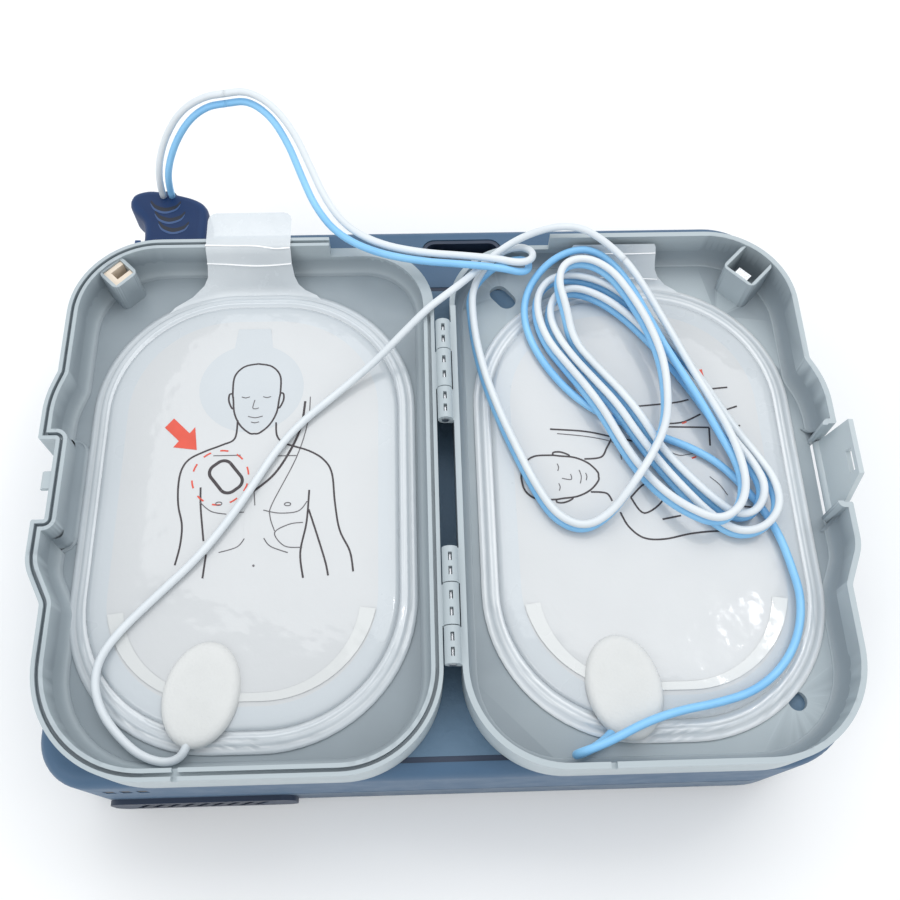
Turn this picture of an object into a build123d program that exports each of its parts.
from build123d import *
import math
import os

# Automated external defibrillator lying on its back, with its electrode-pads case opened flat on top of it.
# Millimetres. +X right, +Y towards the back (plug side), +Z up.
# Origin: centre of the footprint, on the ground.

# ---- driving dimensions --------------------------------------------------------------------------
BODY_HALF_WIDTH = 111.0
BODY_FRONT = -87.5
BODY_BACK = 89.0
BODY_RADII = [14.0, 24.0, 22.0, 22.0]
FOOT_HEIGHT = 1.5
PARTING_HEIGHT = 20.0
SEAM = 0.8
BODY_TOP = 50.0
BODY_WALL = 2.6
TOP_WALL = 5.5
PANEL_THICKNESS = 3.0
PANEL_SIZE = (196.0, 146.0)
PANEL_CENTRE_Y = -9.0
PANEL_GASKET = 1.5

CASE_DEPTH = 15.0
CASE_FLOOR = 2.0
RIM_HEIGHT = BODY_TOP + CASE_DEPTH
FLOOR_TOP = BODY_TOP + CASE_FLOOR
CASE_FRONT = -88.0
CASE_BACK = 75.0
CASE_INNER_X = 2.5
BASE_MIDDLE_X = 114.0
LID_MIDDLE_X = 116.5
NOTCH_X = 111.4
NOTCH_FRONT = -18.0
NOTCH_BACK = 6.5
BASE_WALL = 1.6
LID_WALL = 3.2
BASE_POST = (96.7, 62.2, 11.6)
LID_POST = (-100.0, 63.3, 8.8)
POST_WALL = 1.0
CABLE_EXIT_HEIGHT = 59.0
CABLE_EXIT_X = 35.0
CABLE_EXIT_Y = 49.0

HINGE_Z = RIM_HEIGHT + 0.25
KNUCKLE_RADIUS = 2.2
PIN_RADIUS = 1.0
PIN_CLEARANCE = 0.06
KNUCKLE_GAP = 0.3
UPPER_HINGE = (10.0, 20.0, 33.0, 43.0)
LOWER_HINGE = (-61.0, -51.0, -39.0, -29.0)

LATCH_PIN_X = 112.8
LATCH_PIN_Z = 52.6
LATCH_PIN_RADIUS = 0.8
LATCH_PIN_SEAT = 1.2
LATCH_LEAN = 12.0
LATCH_HEIGHT = 16.9

LINER_SIZE = (97.0, 143.0)
LINER_RADIUS = 42.0
PAD_SIZE = (87.0, 131.0)
PAD_RADIUS = 37.0
PAD_X = 57.5
PAD_Y = -9.0
LINER_Z = (52.1, 53.1)
PAD_Z = (53.1, 55.3)
DISC_SIZE = (20.5, 28.5)
DISC_TOP = 57.9
LEFT_DISC = (-67.0, -65.0)
RIGHT_DISC = (46.0, -66.0)
FILM = 0.3
TAB_LIFT = 0.38

LEAD_DIAMETER = 2.3

BUTTONS = {
    "power_button": (-70.0, -52.0, 11.0),
    "info_button": (-20.0, -50.0, 8.0),
    "shock_button": (55.0, -50.0, 13.0),
}
BUTTON_TRAVEL = 1.2
SCREW_SPOTS = [(-101.0, -40.0), (100.0, -66.0), (-62.0, 80.0), (98.0, 72.0)]
FOOT_SPOTS = [(-86.0, -66.0), (86.0, -66.0), (-86.0, 66.0), (86.0, 66.0)]
BATTERY_X = (24.0, 88.0)
BATTERY_Y = (25.0, 88.8)
BATTERY_Z = (22.5, 43.5)
KEY_SLOT_CENTRE = (7.5, 80.0)
REAR_DECK_X = (-52.0, 88.0)
REAR_DECK_Y = (56.0, 85.2)

parts = {}


# ---- small helpers -------------------------------------------------------------------------------
def block(x, y, z):
    """Box from three (low, high) pairs."""
    size = [high - low for low, high in (x, y, z)]
    centre = [(low + high) / 2 for low, high in (x, y, z)]
    return Pos(*centre) * Box(*size)


def rod(x, y, z, radius):
    """Upright cylinder; z is a (low, high) pair."""
    return Pos(x, y, (z[0] + z[1]) / 2) * Cylinder(radius, z[1] - z[0])


def rod_along_y(x, y, z, radius):
    """Cylinder along Y; y is a (low, high) pair."""
    return Pos(x, (y[0] + y[1]) / 2, z) * Rot(90, 0, 0) * Cylinder(radius, y[1] - y[0])


def rod_along_x(x, y, z, radius):
    """Cylinder along X; x is a (low, high) pair."""
    return Pos((x[0] + x[1]) / 2, y, z) * Rot(0, 90, 0) * Cylinder(radius, x[1] - x[0])


def rounded_face(points, radii):
    """Closed outline in the ground plane with one corner radius per point."""
    return make_face(FilletPolyline(*points, radius=radii, close=True))


def raise_face(face, z):
    """Prism of a ground-plane face between two heights."""
    return Pos(0, 0, z[0]) * extrude(face, amount=z[1] - z[0])


def rounded_plate(x, y, size, radius, z):
    """Upright prism of a rounded rectangle."""
    return raise_face(Pos(x, y) * RectangleRounded(size[0], size[1], radius), z)


# ---- AED housing ---------------------------------------------------------------------------------
def body_face():
    """Footprint of the housing."""
    corners = [
        (-BODY_HALF_WIDTH, BODY_FRONT),
        (BODY_HALF_WIDTH, BODY_FRONT),
        (BODY_HALF_WIDTH, BODY_BACK),
        (-BODY_HALF_WIDTH, BODY_BACK),
    ]
    return rounded_face(corners, BODY_RADII)


def make_bottom_cover():
    """Lower shell with screw columns and the sound window behind the grille."""
    top = PARTING_HEIGHT - SEAM / 2
    shell = raise_face(body_face(), (FOOT_HEIGHT, top))
    shell = fillet(shell.faces().sort_by(Axis.Z)[0].edges(), 5.0)
    shell -= raise_face(offset(body_face(), -BODY_WALL), (FOOT_HEIGHT + BODY_WALL, top))
    for x, y in SCREW_SPOTS:
        shell += rod(x, y, (FOOT_HEIGHT + BODY_WALL, 12.0), 4.0)
        shell -= rod(x, y, (0, 13.0), 1.7)
        shell -= rod(x, y, (0, 6.0), 3.2)
    shell -= block((-94.0, -56.0), (-89.0, -84.0), (8.0, 16.0))
    return shell


def make_top_shell():
    """Upper shell with its deck, the panel rebate, the plug notch, the key slot and the battery mouth."""
    bottom = PARTING_HEIGHT + SEAM / 2
    shell = raise_face(body_face(), (bottom, BODY_TOP))
    shell = fillet(shell.faces().sort_by(Axis.Z)[-1].edges(), 4.0)
    shell -= raise_face(offset(body_face(), -BODY_WALL), (bottom, BODY_TOP - TOP_WALL))
    for x, y in SCREW_SPOTS:
        shell += rod(x, y, (12.2, BODY_TOP - TOP_WALL), 4.0)
        shell -= rod(x, y, (12.0, 30.0), 1.45)
    rebate = (PANEL_SIZE[0] + 2 * PANEL_GASKET, PANEL_SIZE[1] + 2 * PANEL_GASKET)
    rebate_floor = BODY_TOP - PANEL_THICKNESS
    shell -= rounded_plate(0, PANEL_CENTRE_Y, rebate, 12.0, (rebate_floor, BODY_TOP + 1))
    window = (PANEL_SIZE[0] - 8.0, PANEL_SIZE[1] - 8.0)
    shell -= rounded_plate(0, PANEL_CENTRE_Y, window, 8.0, (BODY_TOP - TOP_WALL - 1, BODY_TOP))
    shell -= block((-101.2, -74.8), (65.8, 95.0), (31.8, BODY_TOP + 1))
    clear = 0.4
    shell -= block((BATTERY_X[0] - clear - 1.5, BATTERY_X[1] + clear + 1.5), (80.0, 95.0),
                   (BATTERY_Z[0] - clear, BATTERY_Z[1] + clear))
    slot = Pos(*KEY_SLOT_CENTRE) * SlotOverall(26.4, 8.4)
    shell -= raise_face(slot, (BODY_TOP - TOP_WALL - 1, BODY_TOP + 1))
    for x in (-94.0, -89.5, -85.0):
        shell -= block((x - 1.4, x + 1.4), (-89.0, -86.6), (35.0, 40.0))
    return shell


def make_housing_seal():
    """Dark gasket in the parting line, set back a little from the outside."""
    z = (PARTING_HEIGHT - SEAM / 2, PARTING_HEIGHT + SEAM / 2)
    return raise_face(offset(body_face(), -0.5), z) - raise_face(offset(body_face(), -BODY_WALL + 0.1), z)


def make_control_panel():
    """Textured inlay that carries the buttons and the status lamp."""
    z = (BODY_TOP - PANEL_THICKNESS, BODY_TOP)
    panel = rounded_plate(0, PANEL_CENTRE_Y, PANEL_SIZE, 10.5, z)
    for x, y, radius in BUTTONS.values():
        panel -= rod(x, y, (z[0] - 1, z[1] + 1), radius + 0.3)
    panel -= rod(75.0, 42.0, (z[0] - 1, z[1] + 1), 3.1)
    return panel


def make_panel_gasket():
    """Navy ring around the control panel."""
    z = (BODY_TOP - PANEL_THICKNESS, BODY_TOP - 0.2)
    outer = (PANEL_SIZE[0] + 2 * PANEL_GASKET, PANEL_SIZE[1] + 2 * PANEL_GASKET)
    ring = rounded_plate(0, PANEL_CENTRE_Y, outer, 12.0, z)
    return ring - rounded_plate(0, PANEL_CENTRE_Y, PANEL_SIZE, 10.5, z)


def make_button(x, y, radius):
    """Push cap with the retaining flange under the panel."""
    cap = rod(x, y, (45.6, BODY_TOP - 0.4), radius)
    cap = fillet(cap.faces().sort_by(Axis.Z)[-1].edges(), 0.6)
    return cap + rod(x, y, (44.6, 46.8), radius + 1.4)


def make_button_board():
    """Switch board with one dome under each button."""
    board = block((-88.0, 74.0), (-70.0, -28.0), (39.4, 41.0))
    for x, y, _ in BUTTONS.values():
        board += rod(x, y, (41.0, 43.0), 3.0)
    return board


def make_speaker_grille():
    """Bulged grille on the front left corner with slanted sound slots."""
    grille = block((-100.0, -46.0), (-89.0, BODY_FRONT), (5.0, 18.6))
    grille = fillet(grille.edges().filter_by(Axis.Y), 4.0)
    for i in range(9):
        slot = Box(1.7, 4.0, 9.0)
        grille -= Pos(-91.0 + 4.3 * i, -88.3, 11.8) * Rot(0, 30, 0) * slot
    return grille


def make_plug_socket():
    """Socket block behind the plug notch, with a cavity for the plug's nose."""
    socket = block((-101.0, -75.0), (66.0, 86.2), (32.0, BODY_TOP - 0.4))
    socket -= block((-99.2, -76.8), (78.0, 95.0), (34.8, BODY_TOP + 1))
    socket -= block((-96.4, -79.6), (67.5, 79.0), (37.6, 47.4))
    return socket


def make_key_slot_cup():
    """Closed pocket that takes the infant key."""
    cup = raise_face(Pos(*KEY_SLOT_CENTRE) * SlotOverall(26.0, 8.0), (38.0, BODY_TOP - 0.3))
    return cup - raise_face(Pos(*KEY_SLOT_CENTRE) * SlotOverall(23.6, 5.6), (39.5, BODY_TOP + 1))


def make_battery_bay():
    """Sleeve that holds the battery, open at the back wall."""
    clear = 0.4
    x = (BATTERY_X[0] - clear, BATTERY_X[1] + clear)
    z = (BATTERY_Z[0] - clear, BATTERY_Z[1] + clear)
    wall = 1.4
    bay = block((x[0] - wall, x[1] + wall), (21.6, 86.0), (z[0] - wall, z[1] + wall - 0.9))
    bay -= block(x, (23.0, 87.0), z)
    return bay


def make_battery():
    """Battery pack with a finger recess and the pocket for its latch."""
    pack = block(BATTERY_X, BATTERY_Y, BATTERY_Z)
    pack = fillet(pack.edges().filter_by(Axis.Y), 2.0)
    pack -= block((30.0, 48.0), (84.8, 95.0), (27.0, 39.0))
    pack -= block((61.7, 78.3), (82.8, 95.0), (27.7, 38.3))
    return pack


def make_battery_latch():
    """Sprung release key in the battery's end face."""
    key = block((62.0, 78.0), (84.4, 88.6), (28.0, 38.0))
    for i in range(3):
        key -= block((65.0, 75.0), (88.0, 90.0), (30.0 + 2.4 * i, 31.2 + 2.4 * i))
    return key


def make_speaker():
    """Loudspeaker behind the grille."""
    cone = rod_along_y(-75.0, (-84.6, -81.0), 18.0, 11.0)
    return cone + rod_along_y(-75.0, (-81.0, -74.0), 18.0, 7.0)


def rear_deck_zone():
    """Space of the rear strip of the deck, which is a node of its own."""
    return block(REAR_DECK_X, REAR_DECK_Y, (BODY_TOP - TOP_WALL - 2.0, BODY_TOP + 1))


def build_housing():
    """All nodes of the AED itself."""
    parts["bottom_cover"] = make_bottom_cover()
    top_shell = make_top_shell()
    parts["top_cover"] = top_shell - rear_deck_zone()
    parts["rear_deck"] = top_shell & rear_deck_zone()
    parts["housing_seal"] = make_housing_seal()
    parts["control_panel"] = make_control_panel()
    parts["panel_gasket"] = make_panel_gasket()
    for name, (x, y, radius) in BUTTONS.items():
        parts[name] = make_button(x, y, radius)
    parts["button_board"] = make_button_board()
    parts["speaker_grille"] = make_speaker_grille()
    parts["speaker"] = make_speaker()
    parts["plug_socket"] = make_plug_socket()
    parts["key_slot_cup"] = make_key_slot_cup()
    parts["battery_bay"] = make_battery_bay()
    parts["battery"] = make_battery()
    parts["battery_latch"] = make_battery_latch()
    parts["status_lamp"] = rod(75.0, 42.0, (45.0, BODY_TOP - 0.4), 3.0)
    parts["main_board"] = block((-92.0, 92.0), (-58.0, 19.0), (10.0, 11.6))
    parts["capacitor"] = rod_along_x((-64.0, -2.0), -6.0, 25.8, 14.0)
    parts["high_voltage_module"] = block((10.0, 52.0), (-45.0, -8.0), (11.7, 35.0))
    contacts = [rod_along_y(x, (67.5, 73.0), 42.5, 1.2) for x in (-92.0, -84.0)]
    parts["socket_contacts"] = Compound(children=contacts)
    blades = [block((x - 3.0, x + 3.0), (23.0, 24.6), (30.0, 36.0)) for x in (40.0, 72.0)]
    parts["battery_contacts"] = Compound(children=blades)
    windows = [block((x - 1.4, x + 1.4), (-87.3, -86.6), (35.0, 40.0)) for x in (-94.0, -89.5, -85.0)]
    parts["sensor_windows"] = Compound(children=windows)
    screws = [rod(x, y, (3.6, 6.0), 3.0) + rod(x, y, (6.0, 28.0), 1.4) for x, y in SCREW_SPOTS]
    parts["housing_screws"] = Compound(children=screws)
    feet = [rod(x, y, (0.0, FOOT_HEIGHT), 7.0) for x, y in FOOT_SPOTS]
    parts["rubber_feet"] = Compound(children=feet)


# ---- pads case -----------------------------------------------------------------------------------
def half_face(side):
    """Outline of one half of the case; side is +1 for the base and -1 for the lid."""
    base = side > 0
    front_x, back_x = (109.2, 110.0) if base else (109.5, 113.7)
    middle_x, low_x = (BASE_MIDDLE_X, BASE_MIDDLE_X) if base else (LID_MIDDLE_X, LID_MIDDLE_X - 1.4)
    corners = [
        ((CASE_INNER_X, CASE_FRONT), 27.0),
        ((front_x, CASE_FRONT), 29.0 if base else 31.0),
        ((front_x, -42.0), 3.0),
        ((low_x, -31.0), 14.0),
        ((low_x, NOTCH_FRONT), 0.6),
        ((NOTCH_X, NOTCH_FRONT), 0.4),
        ((NOTCH_X, NOTCH_BACK), 0.4),
        ((middle_x, NOTCH_BACK), 0.6),
        ((middle_x, 20.0), 30.0),
        ((back_x, 28.6), 2.0),
        ((back_x, CASE_BACK), 26.0),
        ((CASE_INNER_X, CASE_BACK), 22.0),
    ]
    points = [(side * x, y) for (x, y), _ in corners]
    return rounded_face(points, [radius for _, radius in corners])


def make_tray(side, wall):
    """Open tray of one half, with the low rim at the cable exit."""
    face = half_face(side)
    tray = raise_face(face, (BODY_TOP, RIM_HEIGHT))
    tray = fillet(tray.faces().sort_by(Axis.Z)[0].edges(), 0.5)
    tray -= raise_face(offset(face, -wall), (FLOOR_TOP, RIM_HEIGHT))
    exit_x = sorted((side * CABLE_EXIT_X, -side * 1.0))
    tray -= block(exit_x, (CABLE_EXIT_Y, CASE_BACK + 1), (CABLE_EXIT_HEIGHT, RIM_HEIGHT + 1))
    return tray


def make_knuckle(side, y):
    """One hinge barrel with its web to the half it belongs to, and two slots that show the pin."""
    barrel = rod_along_y(0, y, HINGE_Z, KNUCKLE_RADIUS)
    web_x = sorted((0.0, side * (CASE_INNER_X + 0.4)))
    barrel += block(web_x, y, (HINGE_Z - KNUCKLE_RADIUS, RIM_HEIGHT))
    barrel -= rod_along_y(0, (y[0] - 1, y[1] + 1), HINGE_Z, PIN_RADIUS + PIN_CLEARANCE)
    length = y[1] - y[0]
    for share in (0.3, 0.7):
        middle = y[0] + share * length
        barrel -= block((-0.5, 0.5), (middle - 1.2, middle + 1.2), (HINGE_Z, HINGE_Z + 3))
    return barrel


def add_knuckles(tray, side):
    """Outer barrels belong to the base, the middle ones to the lid."""
    for y0, y1, y2, y3 in (UPPER_HINGE, LOWER_HINGE):
        spans = [(y0, y1), (y2, y3)] if side > 0 else [(y1 + KNUCKLE_GAP, y2 - KNUCKLE_GAP)]
        for span in spans:
            tray += make_knuckle(side, span)
    return tray


def post(place, open_side):
    """Square tube standing in the corner of a tray, turned by 45 degrees; open_side cuts towards its wall."""
    x, y, size = place
    height = RIM_HEIGHT - 0.6 - FLOOR_TOP
    inner = size - 2 * POST_WALL
    tube = extrude(RectangleRounded(size, size, 2.0), amount=height)
    tube -= extrude(Pos(open_side / 2, 0) * Rectangle(inner + open_side, inner), amount=height)
    return Pos(x, y, FLOOR_TOP) * Rot(0, 0, 45) * tube


def latch_pin():
    """Pin of the latch, seated in the two ends of the cut-out."""
    span = (NOTCH_FRONT - LATCH_PIN_SEAT, NOTCH_BACK + LATCH_PIN_SEAT)
    return rod_along_y(LATCH_PIN_X, span, LATCH_PIN_Z, LATCH_PIN_RADIUS)


def make_case_base():
    """Right half of the case, with the latch cut-out, the corner post and its holes."""
    tray = add_knuckles(make_tray(1, BASE_WALL), 1)
    gap = (NOTCH_FRONT + 0.4, NOTCH_BACK - 0.4)
    tray -= block((108.0, 120.0), gap, (FLOOR_TOP, RIM_HEIGHT + 1))
    tray -= block((110.4, 120.0), gap, (BODY_TOP - 1, FLOOR_TOP))
    tray -= latch_pin()
    tray += post(BASE_POST, 1.2)
    slot = Pos(20.0, 60.0) * Rot(0, 0, -50) * SlotOverall(9.5, 6.0)
    tray -= raise_face(slot, (BODY_TOP - 1, FLOOR_TOP + 1))
    tray -= rod(93.5, -70.5, (BODY_TOP - 1, FLOOR_TOP + 1), 2.6)
    tray -= rod(89.0, 52.0, (BODY_TOP - 1, FLOOR_TOP + 1), 0.8)
    tray -= block((39.0, 40.6), (CASE_FRONT - 1, CASE_FRONT + 3), (RIM_HEIGHT - 2, RIM_HEIGHT + 1))
    return tray


def make_case_lid():
    """Left half of the case, with the double rim, the latch catch and the corner post."""
    tray = make_tray(-1, LID_WALL)
    face = half_face(-1)
    groove = raise_face(offset(face, -1.1), (RIM_HEIGHT - 1.8, RIM_HEIGHT + 1))
    groove -= raise_face(offset(face, -2.1), (RIM_HEIGHT - 1.8, RIM_HEIGHT + 1))
    tray -= groove
    tray = add_knuckles(tray, -1)
    catch = block((-114.2, -NOTCH_X + 1.0), (-8.6, -3.4), (RIM_HEIGHT - 2.2, RIM_HEIGHT - 0.4))
    tray += chamfer(catch.edges().filter_by(Axis.Y).sort_by(Axis.X)[0:1], 0.8)
    tray += post(LID_POST, 0.0)
    tray -= block((-71.0, -69.4), (CASE_FRONT - 1, CASE_FRONT + 3.4), (RIM_HEIGHT - 2, RIM_HEIGHT + 1))
    return tray


def make_latch_flap():
    """Swinging latch plate on the base's outer edge, leaning outwards while open."""
    barrel = rod_along_y(0, (NOTCH_FRONT + 0.7, NOTCH_BACK - 0.7), 0, 1.7)
    profile = Plane.YZ * make_face(Polyline(
        (NOTCH_BACK - 0.7, 0), (NOTCH_BACK - 0.7, LATCH_HEIGHT), (-11.0, LATCH_HEIGHT),
        (NOTCH_FRONT + 0.7, 6.0), (NOTCH_FRONT + 0.7, 0), close=True))
    plate = Pos(-0.8, 0, 0) * extrude(profile, amount=1.6)
    plate -= block((-2, 2), (-9.4, -2.6), (12.8, 15.4))
    flap = barrel + plate
    flap -= rod_along_y(0, (NOTCH_FRONT, NOTCH_BACK), 0, 0.85)
    return Pos(LATCH_PIN_X, 0, LATCH_PIN_Z) * Rot(0, LATCH_LEAN, 0) * flap


def build_case():
    """The two halves and what moves or sits on them."""
    parts["case_base"] = make_case_base()
    parts["case_lid"] = make_case_lid()
    for name, span in (("upper_hinge_pin", UPPER_HINGE), ("lower_hinge_pin", LOWER_HINGE)):
        parts[name] = rod_along_y(0, (span[0] - 0.3, span[3] + 0.3), HINGE_Z, PIN_RADIUS)
    parts["latch_flap"] = make_latch_flap()
    parts["latch_pin"] = latch_pin()
    insert = Box(6.6, 6.6, 11.6) - Pos(1.2, 0.2, 0) * Box(5.4, 3.2, 11.6)
    parts["lid_block"] = Pos(LID_POST[0], LID_POST[1], FLOOR_TOP + 5.9) * Rot(0, 0, 45) * insert
    strip = Pos(0, 0, 4.4) * Box(0.6, 4.6, 8.8) + Pos(-1.4, 0, 8.5) * Box(3.4, 4.6, 0.6)
    parts["base_contact"] = Pos(BASE_POST[0], BASE_POST[1], FLOOR_TOP) * Rot(0, 0, 45) * strip


# ---- electrode pads ------------------------------------------------------------------------------
def make_liner(side):
    """Thermoformed liner tray with the stepped edge that the pad sits in."""
    liner = rounded_plate(side * PAD_X, PAD_Y, LINER_SIZE, LINER_RADIUS, LINER_Z)
    rim = rounded_plate(side * PAD_X, PAD_Y, (93.0, 139.0), 40.0, (LINER_Z[1], 54.3))
    return liner + rim - rounded_plate(side * PAD_X, PAD_Y, (90.0, 136.0), 38.5, (LINER_Z[1], 54.3))


def bent_film(x, profile):
    """Strip of film of width x that follows a profile of (y, z) points."""
    upper = [(y, z) for y, z in profile]
    lower = [(y, z - FILM) for y, z in reversed(profile)]
    face = Plane.YZ * make_face(Polyline(*upper, *lower, close=True))
    return Pos(x[0], 0, 0) * extrude(face, amount=x[1] - x[0])


def make_pad(side):
    """Foam pad, hollow underneath for the gel and the foil."""
    pad = rounded_plate(side * PAD_X, PAD_Y, PAD_SIZE, PAD_RADIUS, PAD_Z)
    pad = fillet(pad.faces().sort_by(Axis.Z)[-1].edges(), 0.8)
    return pad - rounded_plate(side * PAD_X, PAD_Y, (67.0, 111.0), 27.0, (PAD_Z[0], 54.3))


def make_disc(centre):
    """Oval cover over the end of the lead."""
    disc = raise_face(Pos(*centre) * Ellipse(DISC_SIZE[0] / 2, DISC_SIZE[1] / 2), (PAD_Z[1], DISC_TOP))
    return chamfer(disc.faces().sort_by(Axis.Z)[-1].edges(), 1.0)


def build_pads():
    """Liner, pad, gel, foil and disc of each half."""
    for name, side, disc in (("left", -1, LEFT_DISC), ("right", 1, RIGHT_DISC)):
        parts[name + "_liner"] = make_liner(side)
        parts[name + "_pad"] = make_pad(side)
        parts[name + "_gel"] = rounded_plate(side * PAD_X, PAD_Y, (66.0, 110.0), 26.5, (PAD_Z[0], 53.9))
        parts[name + "_foil"] = rounded_plate(side * PAD_X, PAD_Y, (64.0, 108.0), 25.5, (53.9, 54.2))
        parts[name + "_disc"] = make_disc(disc)
    tab_height = RIM_HEIGHT + TAB_LIFT
    parts["left_pull_tab"] = bent_film((-75.0, -48.0), [
        (62.5, 53.1), (66.0, 56.5), (69.4, 63.6), (71.0, tab_height), (84.5, tab_height)])
    parts["right_pull_tab"] = bent_film((41.5, 69.0), [
        (62.5, 53.1), (66.0, 55.6), (69.6, 60.0), (71.6, 63.6)])


# ---- plug and leads ------------------------------------------------------------------------------
def make_plug_body():
    """Fan-shaped plug with its nose, three grip ridges and a dimple where the leads come out."""
    outline = [(-98.6, 79.0), (-98.4, 92.0), (-104.6, 97.0), (-103.0, 105.5), (-92.0, 109.0), (-77.6, 102.5),
               (-77.4, 79.0)]
    plug = raise_face(rounded_face(outline, [0.8, 4.0, 3.5, 4.5, 6.0, 5.0, 0.8]), (36.0, 48.6))
    plug = fillet(plug.faces().sort_by(Axis.Z)[-1].edges(), 1.2)
    plug += block((-96.0, -80.0), (68.5, 80.0), (38.0, 47.0))
    for i in range(3):
        plug += Pos(-87.5, 85.2 + 3.8 * i, 48.6) * Rot(0, 90, 0) * Cylinder(0.7, 12.0)
    for x in (-92.0, -84.0):
        plug -= rod_along_y(x, (67.0, 76.0), 42.5, 2.2)
    plug -= rod(-92.0, 105.0, (46.4, 50.0), 3.2)
    return plug


def bend_radii(points):
    """Largest tangent arc at each inner point: 0.45 of the shorter run over the tangent of half the turn."""
    radii = []
    for before, here, after in zip(points, points[1:], points[2:]):
        run_in = Vector(*here) - Vector(*before)
        run_out = Vector(*after) - Vector(*here)
        half_turn = math.radians(run_in.get_angle(run_out)) / 2
        radii.append(0.45 * min(run_in.length, run_out.length) / math.tan(half_turn))
    return radii


def make_lead(name, points):
    """Round lead along straight runs joined by tangent arcs."""
    radii = bend_radii(points)
    path = FilletPolyline(*points, radius=radii)
    section = Plane(path @ 0, z_dir=path % 0) * Circle(LEAD_DIAMETER / 2)
    tube = sweep(section, path=path)
    expected = math.pi * (LEAD_DIAMETER / 2) ** 2 * path.length
    print(name, "bend radii", [round(r, 1) for r in radii])
    print(name, "length", round(path.length, 1), "volume ratio", round(tube.volume / expected, 4))
    return tube


LEADS = {
    "white_lead_rise": [
        (-93.45, 105.0, 47.6), (-93.45, 105.0, 57.0), (-90.0, 111.0, 67.4), (-82.6, 115.4, 77.4),
        (-74.0, 117.2, 82.0), (-67.0, 117.4, 83.0)],
    "blue_lead_rise": [
        (-90.55, 105.0, 47.6), (-90.55, 105.0, 56.6), (-87.0, 110.4, 65.6), (-80.6, 114.2, 74.2),
        (-73.6, 116.2, 78.8), (-66.8, 116.4, 79.8)],
    "white_lead_fall": [
        (-67.0, 117.4, 83.0), (-60.0, 117.6, 84.0), (-52.0, 113.6, 82.0), (-45.4, 106.4, 77.4),
        (-40.8, 97.4, 72.0), (-36.2, 87.4, 68.2), (-29.8, 77.8, 66.8), (-19.6, 71.0, 66.5),
        (-6.0, 67.4, 66.6), (7.0, 66.1, 66.6), (18.6, 65.2, 66.4), (27.2, 64.8, 65.2),
        (28.6, 71.6, 61.8), (21.4, 71.8, 59.9), (14.6, 66.4, 59.2), (9.8, 58.4, 59.2), (9.8, 50.0, 59.2)],
    "blue_lead_fall": [
        (-66.8, 116.4, 79.8), (-60.0, 116.6, 80.8), (-52.8, 111.8, 78.8), (-47.6, 104.4, 74.2),
        (-43.8, 95.6, 69.4), (-39.4, 85.4, 66.6), (-32.4, 75.2, 66.2), (-21.0, 68.0, 66.4),
        (-6.6, 64.2, 66.6), (7.0, 62.9, 66.6), (20.4, 61.8, 65.6), (30.4, 61.8, 62.4),
        (31.6, 70.2, 58.8), (23.8, 70.6, 57.0), (14.8, 65.6, 56.4), (8.0, 57.8, 56.8), (7.8, 50.0, 56.8)],
    "white_lead_cross": [
        (57.0, 62.0, 64.8), (56.4, 66.6, 65.6), (51.0, 69.8, 69.4), (43.0, 70.2, 71.2), (35.0, 71.8, 68.4),
        (27.6, 73.8, 65.2), (20.6, 71.6, 63.2), (14.8, 66.4, 62.6), (10.0, 60.6, 63.6), (5.0, 55.1, 66.6),
        (0.0, 50.6, 66.9)],
    "white_lead_lid": [
        (0.0, 50.6, 66.9), (-5.0, 46.1, 67.2), (-13.0, 38.8, 64.2), (-21.0, 32.4, 59.8), (-32.5, 23.0, 57.4),
        (-42.5, 14.4, 57.0), (-49.8, 5.2, 57.0), (-56.0, -5.8, 57.0), (-61.8, -15.6, 57.0),
        (-70.2, -27.4, 57.0), (-81.0, -38.4, 57.0), (-89.8, -47.6, 57.0), (-94.6, -54.8, 56.9),
        (-95.4, -62.0, 56.6), (-93.0, -69.0, 55.6), (-88.4, -75.0, 54.2), (-82.6, -80.0, 53.6),
        (-76.4, -82.2, 53.7), (-71.8, -81.6, 54.6), (-69.6, -78.4, 56.4)],
    "blue_lead_tail": [
        (96.0, -26.0, 58.2), (96.0, -33.0, 58.2), (97.6, -43.4, 57.2), (95.0, -54.0, 57.0),
        (89.0, -62.6, 57.0), (80.4, -68.6, 57.2), (70.0, -71.4, 57.6), (59.4, -73.2, 58.8),
        (49.8, -76.2, 60.4), (41.4, -80.2, 60.8), (34.6, -82.6, 60.6), (32.6, -83.3, 57.3),
        (34.4, -82.5, 54.0), (39.2, -80.0, 54.6), (43.0, -77.0, 56.6)],
}
COIL_OUTLINE = [
    (6.2, 50.0), (15.5, 50.0), (24.0, 57.0), (38.0, 62.0), (62.0, 62.0), (98.5, -8.0), (98.5, -26.0),
    (34.0, -26.0), (20.0, -10.0), (6.2, 28.0),
]
COIL_RADII = [1.0, 3.0, 8.0, 6.0, 8.0, 10.0, 1.0, 14.0, 18.0, 16.0]
COIL_Z = (56.0, 66.6)


def build_leads():
    """Plug, its grommet and contacts, the leads and the loose coil on the right pad."""
    parts["plug_body"] = make_plug_body()
    parts["plug_grommet"] = rod(-92.0, 105.0, (46.5, 47.6), 3.0)
    sleeves = [rod_along_y(x, (68.5, 75.5), 42.5, 2.1) - rod_along_y(x, (68.0, 74.0), 42.5, 1.26)
               for x in (-92.0, -84.0)]
    parts["plug_contacts"] = Compound(children=sleeves)
    for name, points in LEADS.items():
        parts[name] = make_lead(name, points)
    parts["lead_coil"] = raise_face(rounded_face(COIL_OUTLINE, COIL_RADII), COIL_Z)


build_housing()
build_case()
build_pads()
build_leads()

os.makedirs("parts", exist_ok=True)
for node, solid in parts.items():
    export_step(solid, "parts/" + node + ".step")
print(len(parts), "nodes")
